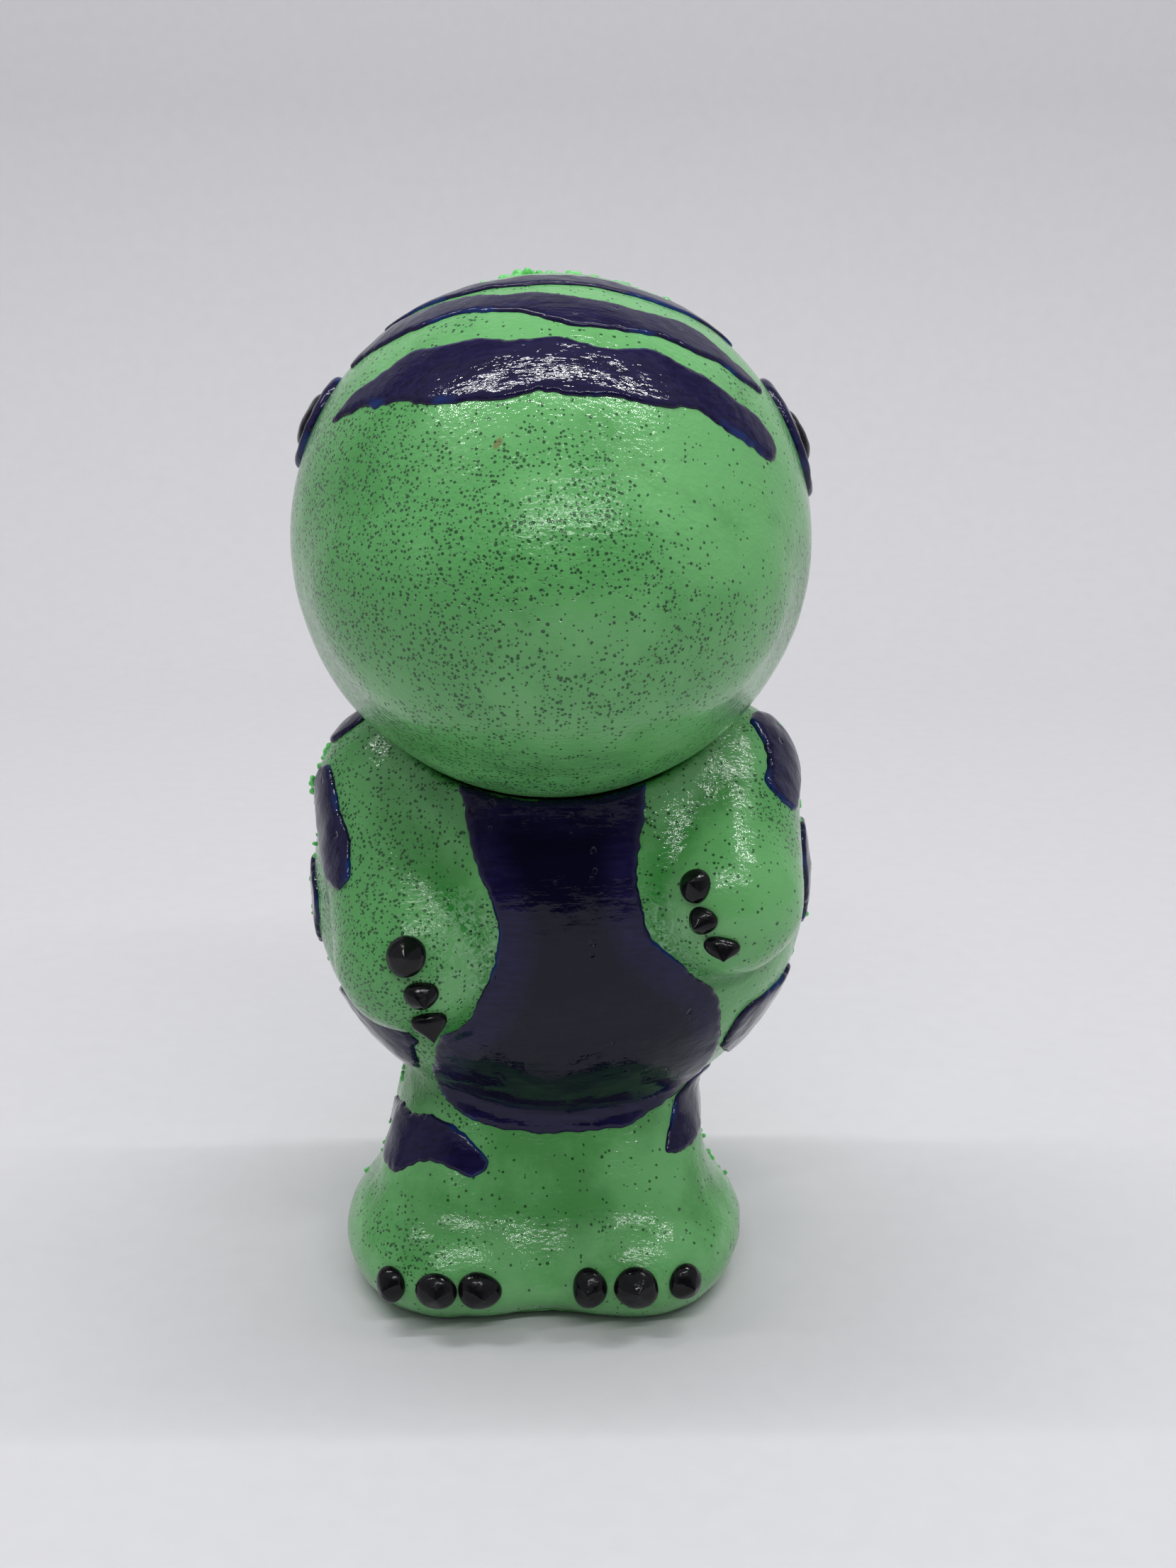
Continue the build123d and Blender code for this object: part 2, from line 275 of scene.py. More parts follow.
def fill_face(p, t):
    """Runs the ball of the head and the snout together, with a round brow."""
    front = (p[:, 2] > FACE_FROM - 2) & (p[:, 1] < 0)
    share = window(p[:, 2], FACE_FROM, 120, 3) * (p[:, 1] < -3)
    p = fill_to_hull(p, t, front, point_normals(p, t), share)
    n = point_normals(p, t)
    outside = (n * (p - HEAD_CENTRE)).sum(1) > 0
    near = np.exp(-0.5 * (np.linalg.norm(p - BROW, axis=1) / BROW_SPREAD) ** 2) * outside
    return p + BROW_SWELL * near[:, None] * n


def fill_feet(p, t):
    """Joins the fronts of the two feet low down."""
    feet = (p[:, 2] < WEB_TOP + WEB_FADE + 1) & (p[:, 1] < -2)
    forward = np.tile((0.0, -1.0, 0.0), (len(p), 1))
    low = window(p[:, 2], -9, WEB_TOP, WEB_FADE)
    web = FOOT_WEB * low * window(p[:, 0], -WEB_HALF_WIDTH, WEB_HALF_WIDTH, 2)
    return fill_to_hull(p, t, feet, forward, web)


def moulded_skin(name, shells, seed, swell, ripple_height):
    """Fuses the front and back shells, rounds their creases and lets the surface waver."""
    points, faces, offset = [], [], 0
    for shell in shells:
        p, t = arrays(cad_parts[shell].data)
        points.append(p)
        faces.extend((t + offset).tolist())
        offset += len(p)
    piece = new_piece(name, np.concatenate(points), faces)
    voxel_remesh(piece, SKIN_VOXEL)
    p, t = arrays(piece.data)
    pairs = edge_pairs(piece.data)
    p = soften(p, t, pairs, 6, FILL_STEPS)
    # The upper arms, the legs and the whole face run on with no crease
    share = window(p[:, 2], ARMS_FROM, 200, CREASE_FADE) + window(p[:, 2], -5, LEGS_TO, CREASE_FADE)
    p = soften(p, t, pairs, 0, MORE_FILL_STEPS, share)
    p = fill_face(p, t) if "head" in name else fill_feet(p, t)
    p = soften(p, t, pairs, 10, 0)
    n = point_normals(p, t)
    # How hollow each point lies, spread over about 3 mm, is kept on the points as painted shade for the
    # creases
    hollow = (pull_to_neighbours(p, pairs) * n).sum(1)
    for _ in range(HOLLOW_SPREAD):
        hollow = hollow + 0.6 * pull_to_neighbours(hollow[:, None], pairs)[:, 0]
    p = p + n * (swell * waves(p, 13.0, seed) + ripple_height * waves(p, 3.2, seed + 1))[:, None]
    p = keep_neck_free(p, "head" in name)
    piece.data.vertices.foreach_set("co", (p * MM).ravel())
    crease_shade = piece.data.attributes.new("painted_crease_shade", "FLOAT", "POINT")
    crease_shade.data.foreach_set("value", np.clip(hollow / HOLLOW_FULL, -1, 1).astype(np.float32))
    print(name, "has", len(p), "points")
    return piece, p, t, point_normals(p, t)


torso_skin = moulded_skin("torso_skin", ["torso_front_shell", "torso_back_shell"], 11, 0.12, 0.04)
head_skin = moulded_skin("head_skin", ["head_front_shell", "head_back_shell"], 23, 0.06, 0.012)

# %% [markdown]
# ## Two halves and a rough parting line
# The figure was cast in two halves, and the glue and flash along the join were never cleaned
# off. Each skin is cut on the parting plane with an exact boolean, which caps the cut with the
# true wall thickness. The flash is its own piece: a row of small beads of uneven size, fused
# by a fine voxel remesh, so that it runs, breaks off and clots like real squeezed-out paint.

# %% Cut each skin on the parting plane
parting_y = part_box("head_back_shell")[0].y / MM
CUT_SIZE = 200.0  # mm, larger than the toy


def cut_half(skin, name, node, body, front):
    """One half of a fused skin, capped on the parting plane."""
    half = CUT_SIZE / 2
    low = parting_y - CUT_SIZE if front else parting_y
    high = parting_y if front else parting_y + CUT_SIZE
    corners = [(x, y, z) for x in (-half, half) for y in (low, high) for z in (-half, 2 * half)]
    quads = [(0, 1, 3, 2), (4, 6, 7, 5), (0, 4, 5, 1), (2, 3, 7, 6), (0, 2, 6, 4), (1, 5, 7, 3)]
    block = new_piece("cutting_block", corners, quads)
    piece = bpy.data.objects.new(name, skin.data.copy())
    bpy.context.scene.collection.objects.link(piece)
    cut = piece.modifiers.new("half", "BOOLEAN")
    cut.operation = "INTERSECT"
    cut.solver = "MANIFOLD"
    cut.object = block
    apply_modifiers(piece)
    bpy.data.objects.remove(block)
    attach(piece, body)
    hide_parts(node)
    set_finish(piece, "skin")
    print(name, "has", len(piece.data.polygons), "faces")
    return piece


skins = [
    cut_half(torso_skin[0], "torso_front", "torso_front_shell", "torso", True),
    cut_half(torso_skin[0], "torso_back", "torso_back_shell", "torso", False),
    cut_half(head_skin[0], "head_front", "head_front_shell", "head", True),
    cut_half(head_skin[0], "head_back", "head_back_shell", "head", False),
]
for skin in (torso_skin, head_skin):
    skin[0].hide_render = True


# %% Flash along the parting line
FLASH_VOXEL = 0.13  # mm


def parting_points(skin, avoid_centre, avoid_radius, lowest):
    """Where the outside of a skin crosses the parting plane, with the skin's direction there."""
    piece, p, t, n = skin
    tree = BVHTree.FromPolygons(p.tolist(), t.tolist())
    found = []
    side = p[t][:, :, 1] - parting_y
    for triangle in t[(side.min(1) < 0) & (side.max(1) >= 0)]:
        middle, normal = p[triangle].mean(0), n[triangle].mean(0)
        start = Vector(middle + 0.3 * normal)
        hit = tree.ray_cast(start, Vector(normal))[0]
        clear = np.linalg.norm(middle - avoid_centre) > avoid_radius
        if hit is None and clear and middle[2] > lowest:
            found.append((middle, normal))
    return found


def bead_shape():
    """The points and faces of a small ball, one bead of flash."""
    bm = bmesh.new()
    bmesh.ops.create_icosphere(bm, subdivisions=2, radius=1)
    points = np.array([v.co[:] for v in bm.verts])
    faces = np.array([[v.index for v in f.verts] for f in bm.faces])
    bm.free()
    return points, faces


def seam_flash(name, body, crossings, strength, seed):
    """Fused beads of squeezed-out gloss along a row of crossings. strength is 0 to 1 per point."""
    rng = np.random.default_rng(seed)
    ball, ball_faces = bead_shape()
    points, faces = [], []
    for (middle, normal), amount in zip(crossings, strength):
        for _ in range(1 + int(2.5 * amount)):
            if rng.uniform() > 0.15 + 0.85 * amount:
                continue
            radius = rng.uniform(0.14, 0.24) + 0.42 * amount * rng.uniform() ** 0.6
            lift = rng.uniform(-0.6, 0.1) * radius + 0.6 * amount * rng.uniform() ** 1.3
            stretch = rng.uniform(0.75, 1.6, 3)
            place = middle + lift * normal + rng.normal(scale=(0.12, 0.16 + 0.45 * amount, 0.1))
            faces.extend((ball_faces + len(points) * len(ball)).tolist())
            points.append(place + ball * radius * stretch)
    piece = new_piece(name, np.concatenate(points), faces)
    voxel_remesh(piece, FLASH_VOXEL)
    p, t = arrays(piece.data)
    p = soften(p, t, edge_pairs(piece.data), 5, 12)
    piece.data.vertices.foreach_set("co", (p * MM).ravel())
    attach(piece, body)
    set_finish(piece, "skin")
    print(name, "is fused from", len(points), "beads,", len(t), "triangles")
    return piece


crossings = parting_points(head_skin, HEAD_CENTRE, 0, 62)
places = np.array([m for m, _ in crossings])
crown = window(places[:, 0], -3.8, 10.2, 4.0) * window(places[:, 2], 97, 120, 2.0)
uneven = 0.9 + 0.4 * waves(places, 4.0, 31)
strength = np.clip(0.05 + 0.55 * crown * uneven, 0, 1)
head_flash = seam_flash("head_seam_flash", "head", crossings, strength, 5)
crossings = parting_points(torso_skin, HEAD_CENTRE, HEAD_RADIUS + 1.6, 1.0)
places = np.array([m for m, _ in crossings])
flank = np.exp(-(((places[:, 2] - 48) / 12) ** 2)) * (0.6 + 0.6 * waves(places, 6.0, 32))
strength = np.clip(0.03 + 0.45 * flank, 0, 1)
torso_flash = seam_flash("torso_seam_flash", "torso", crossings, strength, 6)

# %% [markdown]
# ## Thick paint
# The markings are not a picture on the skin. They are films of paint a third of a millimetre
# thick, with a rounded edge that catches the light and a ragged outline left by a stiff brush.
# A texture mask could colour the skin, but it would have no edge. So each film is cut out of
# the skin's own triangles along the line where a field of depth inside the outline, roughened
# by waves, passes through zero. The top is then raised by a height that grows quickly with
# depth, and a floor just under the skin closes it to a solid.

# %% Cut triangles along a line of zero depth
FILM_SINK = 0.12  # mm, how far a film's floor lies under the skin


def subdivide(points, normals, triangles):
    """Splits every triangle in four."""
    edges = np.sort(triangles[:, [0, 1, 1, 2, 2, 0]].reshape(-1, 2), axis=1)
    unique, index = np.unique(edges, axis=0, return_inverse=True)
    middle = len(points) + index.reshape(-1, 3)
    points = np.concatenate([points, points[unique].mean(1)])
    normals = np.concatenate([normals, normals[unique].mean(1)])
    normals /= np.linalg.norm(normals, axis=1)[:, None]
    a, b, c = triangles.T
    ab, bc, ca = middle.T
    fans = [(a, ab, ca), (b, bc, ab), (c, ca, bc), (ab, bc, ca)]
    return points, normals, np.concatenate([np.stack(f, 1) for f in fans])


def clip_at_zero(points, normals, values, triangles):
    """Keeps the part of each triangle where the value is positive."""
    positive = values[triangles] > 0
    kept = triangles[positive.all(1)].tolist()
    extra_points, extra_normals, made = [], [], {}

    def crossing(i, j):
        key = (min(i, j), max(i, j))
        if key not in made:
            t = values[i] / (values[i] - values[j])
            t = min(max(t, 0.02), 0.98)
            extra_points.append(points[i] + t * (points[j] - points[i]))
            extra_normals.append(normals[i] + t * (normals[j] - normals[i]))
            made[key] = len(points) + len(extra_points) - 1
        return made[key]

    for triangle in triangles[positive.any(1) & ~positive.all(1)].tolist():
        polygon = []
        for i, j in zip(triangle, triangle[1:] + triangle[:1]):
            if values[i] > 0:
                polygon.append(i)
            if (values[i] > 0) != (values[j] > 0):
                polygon.append(crossing(i, j))
        kept.extend([polygon[0], b, c] for b, c in zip(polygon[1:], polygon[2:]))
    points = np.concatenate([points, np.array(extra_points).reshape(-1, 3)])
    normals = np.concatenate([normals, np.array(extra_normals).reshape(-1, 3)])
    values = np.concatenate([values, np.zeros(len(extra_points))])
    return points, normals, values, np.array(kept)


def used_only(triangles, *columns):
    """Drops the points that no triangle uses."""
    used, index = np.unique(triangles, return_inverse=True)
    return index.reshape(-1, 3), *(column[used] for column in columns)


# %% Build a film
def paint_film(name, skin, field, facing, thickness=0.3, roll=0.5, base=0.0, seed=1, fineness=1):
    """A solid film of paint on a skin, where field(points) is positive, on the side that faces."""
    _, p, t, n = skin
    facing = np.array(facing, float)
    value = field(p)
    keep = ((value[t] > -1.0).any(1)) & ((n[t] @ facing) > 0.02).all(1)
    keep &= ((p[t] @ facing) > (HEAD_CENTRE @ facing if skin is head_skin else 0)).all(1)
    t, p, n = used_only(t[keep], p, n)
    for _ in range(fineness):
        p, n, t = subdivide(p, n, t)
    p, n, value, t = clip_at_zero(p, n, field(p), t)
    t, p, n, value = used_only(t, p, n, value)
    rolled = np.clip(value / roll, 0, 1)
    height = thickness * (0.1 + 0.9 * np.sqrt(1 - (1 - rolled) ** 2))
    height *= 1 + 0.05 * waves(p, 1.6, seed) + 0.12 * waves(p, 5.0, seed + 1)
    top = p + n * (base + np.maximum(height, 0.03))[:, None]
    floor = p + n * (base - FILM_SINK)
    edges = t[:, [0, 1, 1, 2, 2, 0]].reshape(-1, 2)
    _, index, count = np.unique(
        np.sort(edges, axis=1), axis=0, return_inverse=True, return_counts=True
    )
    rim = edges[count[index.ravel()] == 1]
    walls = np.stack([rim[:, 0], rim[:, 0] + len(p), rim[:, 1] + len(p), rim[:, 1]], 1)
    faces = t.tolist() + (t[:, ::-1] + len(p)).tolist() + walls.tolist()
    piece = new_piece(name, np.concatenate([top, floor]), faces)
    thin = piece.data.attributes.new("depth_in_film", "FLOAT", "POINT")
    thin.data.foreach_set("value", np.concatenate([value, np.zeros(len(p))]).astype(np.float32))
    print(name, "has", len(faces), "faces")
    return piece


def ragged(field, seed, coarse=0.28, fine=0.09):
    """Roughens the edge of a field as a stiff brush does."""
    return lambda p: field(p) + coarse * waves(p, 5.0, seed) + fine * waves(p, 1.3, seed + 7)


def flat_field(corners, axes):
    """Depth inside an outline that is drawn on two of the three axes."""
    outline = smooth_outline(corners)
    return lambda p: depth_inside(p[:, axes], outline)


FRONT, SIDE, TOP = (0, 2), (1, 2), (0, 1)
films = []


def marking(name, node, skin, body, field, facing, slot="marking", **finish):
    piece = paint_film(name, skin, field, facing, **finish)
    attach(piece, body)
    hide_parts(node)
    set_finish(piece, slot)
    films.append(piece)
    return piece


# %% [markdown]
# ## Stripes over the head
# The stripes run from side to side over the top of the head and taper to a hooked tip. They
# are drawn as seen from above, because that is where they are least distorted.

# %% Stripes
STRIPES = {
    "front": (
        (-19.6, -15.4), (-16.4, -16.4), (-11.4, -17.8), (-5.4, -20.0), (0, -21.0), (5.0, -20.8),
        (10.4, -19.5), (14.6, -18.7), (18.4, -17.2), (20.1, -17.0), (19.0, -19.4), (15.6, -21.6),
        (12.2, -22.8), (7.4, -24.9), (2.6, -25.8), (-2.6, -25.8), (-7.0, -25.0), (-11.6, -22.9),
        (-15.4, -19.6),
    ),
    "middle": (
        (-18.0, -8.6), (-14.2, -8.4), (-9.8, -10.8), (-5.0, -13.2), (-0.8, -14.0), (3.6, -14.9),
        (7.8, -14.4), (12.0, -12.8), (16.0, -12.6), (19.0, -12.2), (17.6, -14.2), (14.0, -16.2),
        (9.2, -17.8), (4.2, -19.3), (1.0, -19.0), (-3.4, -16.9), (-8.6, -15.0), (-13.4, -13.2),
        (-16.4, -10.8),
    ),
    "crown": (
        (-15.2, -5.2), (-10.0, -7.4), (-5.0, -8.7), (0.2, -9.1), (5.4, -8.6), (10.6, -7.2),
        (17.2, -5.6), (12.6, -9.0), (6.8, -11.2), (0.4, -11.9), (-6.0, -11.0), (-11.6, -8.2),
    ),
    "nape": (
        (-13.0, 9.6), (-8.0, 6.4), (-1.0, 5.2), (7.0, 6.0), (12.6, 9.0), (7.4, 9.0), (0.6, 8.4),
        (-6.6, 9.6),
    ),
}  # fmt: skip
for number, (name, corners) in enumerate(STRIPES.items()):
    marking(
        f"head_stripe_{name}_paint", f"head_stripe_{name}", head_skin, "head",
        ragged(flat_field(corners, TOP), 40 + number), (0, 0, 1), seed=60 + number,
    )  # fmt: skip

# %% [markdown]
# ## Belly
# The belly is one large smooth film that runs from the chin to the legs, with straight flanks
# beside the arms and a wide round end. It stays clear of the arms, whose shape is a tapered
# capsule from shoulder to hand.


# %% Belly paint
def capsule_distance(p, start, start_radius, end, end_radius):
    """Distance from a round-ended taper, such as an arm."""
    start, end = np.array(start), np.array(end)
    along = end - start
    t = np.clip((p - start) @ along / (along @ along), 0, 1)
    return np.linalg.norm(p - start - t[:, None] * along, axis=1) - (
        start_radius + t * (end_radius - start_radius)
    )


ARMS = {
    "right": ((-14.7, -0.5, 51.8), 9.0, (-13.4, -13.2, 39.1), 8.0),
    "left": ((15.9, -0.5, 52.2), 9.0, (16.8, -13.8, 44.8), 7.4),
}
BELLY = (
    (-8.8, 64), (-8.3, 54.6), (-7.9, 51.4), (-6.2, 47.2), (-5.3, 43.4), (-5.6, 40), (-7.2, 36.4),
    (-9.8, 33.4), (-11.4, 29.8), (-12.2, 25.6), (-11.8, 22.6), (-9.4, 20.4), (-4.6, 18.9),
    (0.8, 18.4), (5.6, 18.8), (10.2, 20.0), (14.0, 22.0), (16.4, 26.4), (16.6, 31.8),
    (15.4, 36.0), (12.2, 39.2), (9.8, 41.8), (8.3, 45.4), (8.0, 49.8), (8.4, 54), (9.0, 64),
)  # fmt: skip
BELLY_GAP = 0.5  # mm between the paint and the arms
CHIN_GAP = 0.36  # mm between the paint and the ball of the head


def belly_field(p):
    depth = flat_field(BELLY, FRONT)(p)
    for arm in ARMS.values():
        depth = np.minimum(depth, capsule_distance(p, *arm) - BELLY_GAP)
    return np.minimum(depth, np.linalg.norm(p - HEAD_CENTRE, axis=1) - HEAD_RADIUS - CHIN_GAP)


marking(
    "belly_paint", "belly_patch", torso_skin, "torso", ragged(belly_field, 81, 0.2, 0.1),
    (0, -1, 0), seed=82, roll=0.7,
)  # fmt: skip

# %% [markdown]
# ## Spots on the flanks and shins
# The spots were dabbed on with a loaded brush, so their outlines are the rough ones. Those on
# the flanks are drawn as seen from the side, and those on the shins as seen from the front.

# %% Spots
FLANKS = {
    "right": {
        "shoulder_spot": ((-1.4, 60.8), (-2.6, 58.4), (-0.4, 56.6), (3.2, 57.4), (2.4, 60.6)),
        "arm_spot": ((-3.8, 55.4), (-8.6, 52.2), (-13.2, 47.8), (-12.2, 45.4), (-6.8, 46.6), (-1.6, 51.6)),
        "flank_spot": ((-3.6, 41.5), (-2.2, 36.4), (3.4, 34.6), (7.4, 38.2), (4.8, 43), (0.4, 43.8)),
        "hip_spot": ((-12.0, 30.4), (-8.2, 24.6), (-1.6, 23.8), (1.6, 27.6), (-4.0, 31.6)),
        "back_spot": ((9.0, 50.8), (8.6, 45.2), (12.8, 43.4), (15.8, 47.6), (13.0, 51.8)),
    },
    "left": {
        "shoulder_spot": ((-3.6, 60), (-6.2, 57.6), (-9.6, 55.2), (-8.4, 52), (-3.0, 53.6), (1.4, 58.6)),
        "flank_spot": ((-3.4, 46.4), (-2.6, 41), (0.6, 36.6), (4.6, 39.2), (4.2, 45.4), (0.6, 48)),
        "hip_spot": ((-10.6, 31.2), (-8.4, 26.8), (-3.0, 24.4), (2.2, 27.6), (0.4, 32.4), (-5.4, 33)),
        "back_spot": ((8.6, 34.6), (11.4, 30.4), (15.4, 33.0), (15.2, 38.4), (10.8, 39.2)),
    },
}
SHINS = {
    "right": (
        (-18.0, 13.2), (-16.8, 17.4), (-12.8, 19.4), (-8.8, 18.4), (-6.4, 16), (-8.4, 14.6),
        (-12.6, 15.8),
    ),
    "left": ((11.6, 16), (12.4, 20), (15.4, 22.6), (18.0, 20.4), (16.2, 16.2)),
}  # fmt: skip
number = 100
for side, (side_name, spots) in zip((-1, 1), FLANKS.items()):
    for name, corners in spots.items():
        number += 2
        marking(
            f"{side_name}_{name}_paint", f"{side_name}_{name}", torso_skin, "torso",
            ragged(flat_field(corners, SIDE), number), (side, 0, 0), seed=number, thickness=0.42,
        )  # fmt: skip
for side_name, corners in SHINS.items():
    number += 2
    marking(
        f"{side_name}_shin_paint", f"{side_name}_shin_patch", torso_skin, "torso",
        ragged(flat_field(corners, FRONT), number), (0, -1, 0), seed=number,
    )  # fmt: skip

# %% [markdown]
# ## Eyes
# Each eye is a fat disc of navy gloss on the side of the head with a smaller black one on top.
# They are films too, only thicker, with a wide rolled edge that makes them pillow-shaped.

# %% Eyes
EYES = {  # middle (Y, Z) and half sizes, seen from the side
    "right": ((-4.8, 89.4), (4.0, 4.2)),
    "left": ((-5.4, 88.0), (4.7, 5.5)),
}
PUPIL_SIZE = (2.2, 2.4)


def oval_field(middle, half):
    """Depth inside an oval, seen from the side."""

    def field(p):
        reach = np.hypot((p[:, 1] - middle[0]) / half[0], (p[:, 2] - middle[1]) / half[1])
        return (1 - reach) * min(half)

    return field


for side, (name, (middle, half)) in zip((-1, 1), EYES.items()):
    marking(
        f"{name}_eye_disc", f"{name}_eye", head_skin, "head",
        ragged(oval_field(middle, half), 150 + side, 0.12, 0.02), (side, 0, 0),
        thickness=0.7, roll=0.8, seed=160 + side,
    )  # fmt: skip
    marking(
        f"{name}_pupil_drop", f"{name}_pupil", head_skin, "head",
        ragged(oval_field(middle, PUPIL_SIZE), 152 + side, 0.1, 0.02), (side, 0, 0), "pupil",
        thickness=0.85, roll=1.7, base=0.5, seed=164 + side, fineness=2,
    )  # fmt: skip

# %% [markdown]
# ## Claws
# Thick black gloss was set down drop by drop from a nozzle. As the nozzle left, each drop was
# pulled to a small peak that leans one way. A drop is turned as rings around its own axis.
# The rings shrink over a round shoulder and slide sideways as they rise, which bends the
# peak. Long slow waves around the rings make every drop a little lopsided.

# %% Claws
RINGS, SPOKES = 26, 40
CLAWS = {  # peak over radius, lean sideways and up, width and height over radius, folds
    "right_hand_claw_top": (0.42, (0.1, -0.1), (1.0, 1.06), 0.012),
    "right_hand_claw_middle": (0.5, (0.1, -0.3), (1.1, 0.95), 0.005),
    "right_hand_claw_bottom": (0.6, (0.05, -0.55), (1.2, 0.8), 0.007),
    "left_hand_claw_top": (0.4, (-0.1, 0.1), (0.98, 1.06), 0.009),
    "left_hand_claw_middle": (0.5, (-0.25, -0.3), (1.04, 1.0), 0.005),
    "left_hand_claw_bottom": (0.5, (0.2, -0.35), (1.2, 0.78), 0.009),
    "right_foot_claw_outer": (0.22, (0.1, -0.1), (0.95, 1.15), 0.003),
    "right_foot_claw_middle": (0.28, (0.1, 0.0), (1.1, 1.1), 0.01),
    "right_foot_claw_inner": (0.22, (0.1, -0.15), (1.1, 1.0), 0.005),
    "left_foot_claw_inner": (0.25, (0.15, -0.2), (1.0, 1.15), 0.005),
    "left_foot_claw_middle": (0.35, (0.15, 0.1), (1.1, 1.05), 0.017),
    "left_foot_claw_outer": (0.28, (0.1, -0.1), (1.05, 1.1), 0.007),
}


def claw_drop(node, peak, lean, oval, folds, seed):
    """A lopsided drop with a leaning peak, on the spot where the measured claw sits."""
    p, _ = arrays(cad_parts[node].data)
    tree = BVHTree.FromPolygons(torso_skin[1].tolist(), torso_skin[2].tolist())
    seat, normal, _, _ = tree.find_nearest(Vector((p.min(0) + p.max(0)) / 2))
    across = normal.cross(Vector((0, 0, 1))).normalized() * -1
    up = normal.cross(across).normalized()
    reach = p @ np.array(across)
    radius = (reach.max() - reach.min()) / 2 * (1.1 if "foot" in node else 1.0)
    rng = np.random.default_rng(seed)
    swell = rng.normal(scale=(0.04, 0.035, 0.025))
    turn = rng.uniform(0, 2 * math.pi, 5)
    points = []
    for ring in range(RINGS + 1):
        angle = math.radians(-35 + 125 * ring / RINGS)
        ring_radius = radius * math.cos(angle) if ring < RINGS else 0
        share = ring_radius / radius
        slide = max(0, 1 - share) ** 1.5 * radius
        for spoke in range(SPOKES if ring < RINGS else 1):
            a = 2 * math.pi * spoke / SPOKES
            wide = 1 + sum(s * math.sin((k + 1) * a + f) for k, (s, f) in enumerate(zip(swell, turn)))
            fold = math.cos(5 * a + turn[3]) + 0.6 * math.cos(3 * a + turn[4])
            wide += 0.6 * folds * share * fold
            crease = folds * fold * 4 * share * (1 - share)
            height = 0.72 * math.sin(angle) + 0.1 + peak * max(0, 1 - share) ** 2.2 + crease
            place = Vector(seat) + normal * radius * height
            place += across * (ring_radius * wide * oval[0] * math.cos(a) + slide * lean[0])
            place += up * (ring_radius * wide * oval[1] * math.sin(a) + slide * lean[1])
            points.append(place[:])
    faces = []
    for low in range(0, (RINGS - 1) * SPOKES, SPOKES):
        high = low + SPOKES
        for s in range(SPOKES):
            after = (s + 1) % SPOKES
            faces.append((low + s, low + after, high + after, high + s))
    tip = RINGS * SPOKES
    last = (RINGS - 1) * SPOKES
    faces += [(last + s, last + (s + 1) % SPOKES, tip) for s in range(SPOKES)]
    faces.append(tuple(range(SPOKES))[::-1])
    piece = new_piece(f"{node}_drop", points, faces)
    bm = bmesh.new()
    bm.from_mesh(piece.data)
    bmesh.ops.recalc_face_normals(bm, faces=bm.faces)
    bm.to_mesh(piece.data)
    bm.free()
    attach(piece, "torso")
    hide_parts(node)
    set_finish(piece, "claw")
    return piece


claws = [claw_drop(node, *shape, 200 + i) for i, (node, shape) in enumerate(CLAWS.items())]
print(len(claws), "claws")


# %% [markdown]
# ## Shared effects
# Pinholes are the toy's signature: air bubbles that burst as the skin set. They are a cell
# pattern, in which only some cells hold a hole, and each hole has its own size. The group puts
# out a mask and a height, so that a material can sink the holes and paint shade in them as it likes.


# %% A short way to wire nodes
class Wiring:
    """Adds nodes to a tree and joins them in one call each."""

    def __init__(self, tree):
        self.tree = tree

    def add(self, kind, settings=None, **inputs):
        node = self.tree.nodes.new(kind)
        for name, value in (settings or {}).items():
            setattr(node, name, value)
        for name, value in inputs.items():
            key = int(name[1:]) if name[0] == "i" and name[1:].isdigit() else name.replace("_", " ")
            self.set(node.inputs[key], value)
        return node

    def set(self, socket, value):
        if isinstance(value, bpy.types.NodeSocket):
            self.tree.links.new(value, socket)
        else:
            socket.default_value = value

    def math(self, operation, a, b=0.0):
        node = self.add("ShaderNodeMath", {"operation": operation})
        self.set(node.inputs[0], a)
        self.set(node.inputs[1], b)
        return node.outputs[0]

    def plus(self, a, b):
        return self.math("ADD", a, b)

    def times(self, a, b):
        return self.math("MULTIPLY", a, b)

    def noise(self, place, scale, detail, **more):
        return self.add("ShaderNodeTexNoise", None, Vector=place, Scale=scale, Detail=detail, **more)

    def vector(self, operation, a, b):
        node = self.add("ShaderNodeVectorMath", {"operation": operation})
        self.set(node.inputs[0], a)
        self.set(node.inputs[1], b)
        return node.outputs["Value" if operation == "DISTANCE" else 0]

    def span(self, value, low, high, to_low=0.0, to_high=1.0, kind="SMOOTHSTEP"):
        node = self.add("ShaderNodeMapRange", {"interpolation_type": kind})
        for socket, number in zip(node.inputs[:5], (value, low, high, to_low, to_high)):
            self.set(socket, number)
        return node.outputs[0]

    def mix(self, factor, a, b, blend="MIX"):
        node = self.add("ShaderNodeMix", {"data_type": "RGBA", "blend_type": blend})
        self.set(node.inputs[0], factor)
        self.set(node.inputs[6], a)
        self.set(node.inputs[7], b)
        return node.outputs[2]


def new_group(name, inputs, outputs):
    tree = bpy.data.node_groups.new(name, "ShaderNodeTree")
    for socket, kind, value in inputs:
        made = tree.interface.new_socket(socket, in_out="INPUT", socket_type=kind)
        if value is not None:
            made.default_value = value
    for socket, kind in outputs:
        tree.interface.new_socket(socket, in_out="OUTPUT", socket_type=kind)
    wires = Wiring(tree)
    return wires, wires.add("NodeGroupInput").outputs, wires.add("NodeGroupOutput").inputs


FLOAT, VECTOR = "NodeSocketFloat", "NodeSocketVector"


